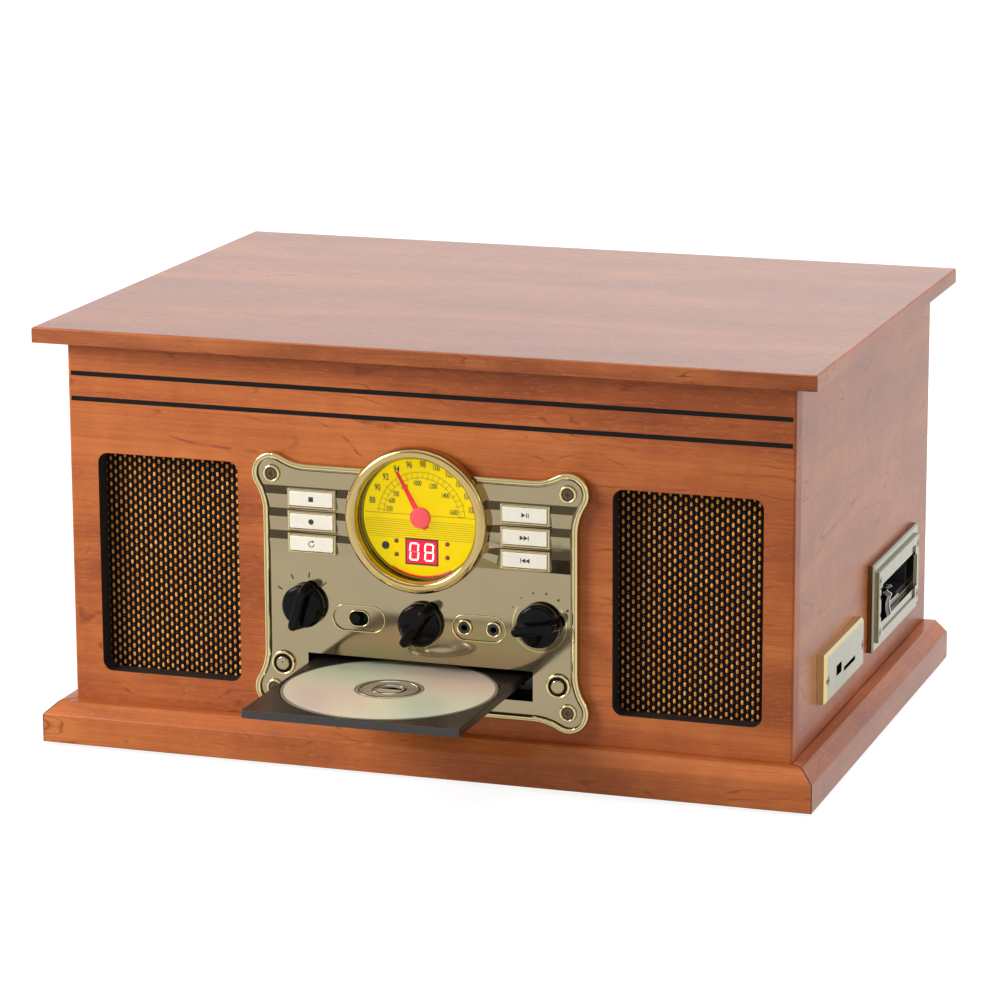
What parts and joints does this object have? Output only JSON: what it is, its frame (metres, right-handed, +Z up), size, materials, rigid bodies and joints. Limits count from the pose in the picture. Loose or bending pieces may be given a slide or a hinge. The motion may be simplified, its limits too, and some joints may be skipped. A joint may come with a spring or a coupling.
{
  "type": "stereo music centre",
  "caption": "Retro wooden music centre with a lift-up lid over a record deck, a gold fascia with a radio dial, an opening CD tray, a cassette bay and card sockets.",
  "frame": {"origin": "on the surface the feet stand on, under the middle of the whole object with its CD tray out", "axes": "+X to the listener's right along the front, +Y towards the back, +Z up"},
  "size_m": [0.456, 0.4432, 0.2458],
  "materials": {
    "cabinet_wood": "satin lacquer",
    "lid_wood": "gloss lacquer",
    "moulding_wood": "satin lacquer",
    "back_board": "painted hardboard",
    "inlay_strip": "gloss black",
    "foot_rubber": "matt",
    "grille_cloth": "woven",
    "speaker_steel": "satin",
    "cone_paper": "matt",
    "champagne_plate": "metallised champagne",
    "gold_trim": "gold plated",
    "knob_black": "gloss black",
    "key_ivory": "gloss ivory",
    "screw_steel": "zinc plated",
    "dial_lens": "clear",
    "dial_card": "printed",
    "needle_red": "matt",
    "display_dark": "gloss",
    "black_plastic": "matt",
    "tray_plastic": "satin",
    "disc_polycarbonate": "aluminised",
    "board_green": "lacquered",
    "drive_metal": "zinc plated",
    "hinge_brass": "polished",
    "stay_steel": "zinc plated",
    "deck_black": "satin",
    "platter_aluminium": "turned",
    "mat_rubber": "matt",
    "arm_chrome": "polished",
    "iron_core": "varnished"
  },
  "bodies": {
    "cabinet": {"front_panel": "cabinet_wood", "left_side_panel": "cabinet_wood", "right_side_panel": "cabinet_wood", "back_panel": "back_board", "base_board": "back_board", "plinth_moulding": "moulding_wood", "rubber_feet": "foot_rubber", "stripe_inlays": "inlay_strip", "grille_cloths": "grille_cloth", "speaker_frames": "speaker_steel", "speaker_cones": "cone_paper", "faceplate": "champagne_plate", "panel_screws": "screw_steel", "dial_bezel": "gold_trim", "dial_lens": "dial_lens", "dial_face": "dial_card", "display_module": "display_dark", "jack_sockets": "black_plastic", "control_board": "board_green", "cd_mechanism": "drive_metal", "usb_plate": "champagne_plate", "card_sockets": "drive_metal", "cassette_frame": "champagne_plate", "cassette_mechanism": "black_plastic", "body_hinge_leaves": "hinge_brass", "hinge_pins": "hinge_brass", "stay_track": "stay_steel", "deck_plate": "deck_black", "platter_motor": "drive_metal", "drive_belt": "foot_rubber", "mains_transformer": "iron_core", "main_board": "board_green", "rear_terminals": "black_plastic"},
    "lid": {"lid": "lid_wood", "lid_hinge_leaves": "hinge_brass", "stay_bracket": "stay_steel"},
    "platter": {"platter": "platter_aluminium", "slip_mat": "mat_rubber"},
    "stay": {"lid_stay": "stay_steel"},
    "pulley": {"motor_pulley": "hinge_brass"},
    "turret": {"tonearm_turret": "deck_black"},
    "arm": {"tonearm": "arm_chrome"},
    "tray": {"cd_tray": "tray_plastic"},
    "disc": {"cd_disc": "disc_polycarbonate"},
    "needle": {"dial_needle": "needle_red"},
    "function_knob": {"function_knob": "knob_black"},
    "tuning_knob": {"tuning_knob": "knob_black"},
    "volume_knob": {"volume_knob": "knob_black"},
    "band_switch": {"band_switch": "black_plastic"},
    "stop_button": {"stop_button": "key_ivory"},
    "record_button": {"record_button": "key_ivory"},
    "repeat_button": {"repeat_button": "key_ivory"},
    "play_button": {"play_button": "key_ivory"},
    "next_button": {"next_button": "key_ivory"},
    "previous_button": {"previous_button": "key_ivory"},
    "power_button": {"power_button": "champagne_plate"},
    "eject_button": {"eject_button": "champagne_plate"},
    "cassette_lever": {"cassette_lever": "black_plastic"},
    "speed_switch": {"speed_switch": "deck_black"},
    "auto_stop_switch": {"auto_stop_switch": "deck_black"}
  },
  "joints": [
    {"name": "lid_hinge", "type": "hinge", "parent": "cabinet", "child": "lid", "pos_m": [0, 0.21485, 0.2368], "axis": [-1, 0, 0], "range_deg": [0, 65]},
    {"name": "stay_pivot", "type": "hinge", "parent": "lid", "child": "stay", "pos_m": [-0.196, 0.08497, 0.23113], "axis": [-1, 0, 0], "range_deg": [-130, 0]},
    {"name": "platter_spin", "type": "hinge", "parent": "cabinet", "child": "platter", "pos_m": [-0.038, 0.05455, 0.1845], "axis": [0, 0, -1], "continuous": true},
    {"name": "pulley_spin", "type": "hinge", "parent": "cabinet", "child": "pulley", "pos_m": [-0.10376, 0.12031, 0.1845], "axis": [0, 0, -1], "continuous": true},
    {"name": "arm_swing", "type": "hinge", "parent": "cabinet", "child": "turret", "pos_m": [0.155, 0.14955, 0.1845], "axis": [0, 0, -1], "range_deg": [0, 46]},
    {"name": "arm_lift", "type": "hinge", "parent": "turret", "child": "arm", "pos_m": [0.155, 0.14955, 0.2065], "axis": [-1, 0, 0], "range_deg": [0, 6]},
    {"name": "speed_turn", "type": "hinge", "parent": "cabinet", "child": "speed_switch", "pos_m": [0.182, -0.05595, 0.1845], "axis": [0, 0, 1], "range_deg": [-25, 25]},
    {"name": "auto_stop_slide", "type": "slide", "parent": "cabinet", "child": "auto_stop_switch", "axis": [0, 1, 0], "range_m": [0, 0.005]},
    {"name": "tray_slide", "type": "slide", "parent": "cabinet", "child": "tray", "axis": [0, 1, 0], "range_m": [0, 0.1063]},
    {"name": "disc_spin", "type": "hinge", "parent": "tray", "child": "disc", "pos_m": [-0.0032, -0.15795, 0.0625], "axis": [0, 0, -1], "continuous": true},
    {"name": "function_turn", "type": "hinge", "parent": "cabinet", "child": "function_knob", "pos_m": [-0.069, -0.10995, 0.094], "axis": [0, 1, 0], "range_deg": [-76, 44]},
    {"name": "tuning_turn", "type": "hinge", "parent": "cabinet", "child": "tuning_knob", "pos_m": [0, -0.10995, 0.0885], "axis": [0, 1, 0], "range_deg": [-129.6, 320.4]},
    {"name": "volume_turn", "type": "hinge", "parent": "cabinet", "child": "volume_knob", "pos_m": [0.0695, -0.10995, 0.0935], "axis": [0, 1, 0], "range_deg": [-45, 255]},
    {"name": "needle_turn", "type": "hinge", "parent": "cabinet", "child": "needle", "pos_m": [-0.001, -0.10995, 0.1485], "axis": [0, 1, 0], "range_deg": [-43.2, 106.8]},
    {"name": "band_slide", "type": "slide", "parent": "cabinet", "child": "band_switch", "axis": [1, 0, 0], "range_m": [0, 0.004]},
    {"name": "stop_press", "type": "slide", "parent": "cabinet", "child": "stop_button", "axis": [0, 1, 0], "range_m": [0, 0.001], "stiffness_N_per_m": 300, "springref_m": -0.001},
    {"name": "record_press", "type": "slide", "parent": "cabinet", "child": "record_button", "axis": [0, 1, 0], "range_m": [0, 0.001], "stiffness_N_per_m": 300, "springref_m": -0.001},
    {"name": "repeat_press", "type": "slide", "parent": "cabinet", "child": "repeat_button", "axis": [0, 1, 0], "range_m": [0, 0.001], "stiffness_N_per_m": 300, "springref_m": -0.001},
    {"name": "play_press", "type": "slide", "parent": "cabinet", "child": "play_button", "axis": [0, 1, 0], "range_m": [0, 0.001], "stiffness_N_per_m": 300, "springref_m": -0.001},
    {"name": "next_press", "type": "slide", "parent": "cabinet", "child": "next_button", "axis": [0, 1, 0], "range_m": [0, 0.001], "stiffness_N_per_m": 300, "springref_m": -0.001},
    {"name": "previous_press", "type": "slide", "parent": "cabinet", "child": "previous_button", "axis": [0, 1, 0], "range_m": [0, 0.001], "stiffness_N_per_m": 300, "springref_m": -0.001},
    {"name": "power_press", "type": "slide", "parent": "cabinet", "child": "power_button", "axis": [0, 1, 0], "range_m": [0, 0.001], "stiffness_N_per_m": 300, "springref_m": -0.001},
    {"name": "eject_press", "type": "slide", "parent": "cabinet", "child": "eject_button", "axis": [0, 1, 0], "range_m": [0, 0.001], "stiffness_N_per_m": 300, "springref_m": -0.001},
    {"name": "lever_press", "type": "slide", "parent": "cabinet", "child": "cassette_lever", "axis": [-1, 0, 0], "range_m": [0, 0.006], "stiffness_N_per_m": 80, "springref_m": -0.003}
  ],
  "couplings": [
    {"joint": "stay_pivot", "follows": "lid_hinge", "ratio": -2},
    {"joint": "pulley_spin", "follows": "platter_spin", "ratio": 15.1},
    {"joint": "needle_turn", "follows": "tuning_turn", "ratio": 0.33333}
  ]
}
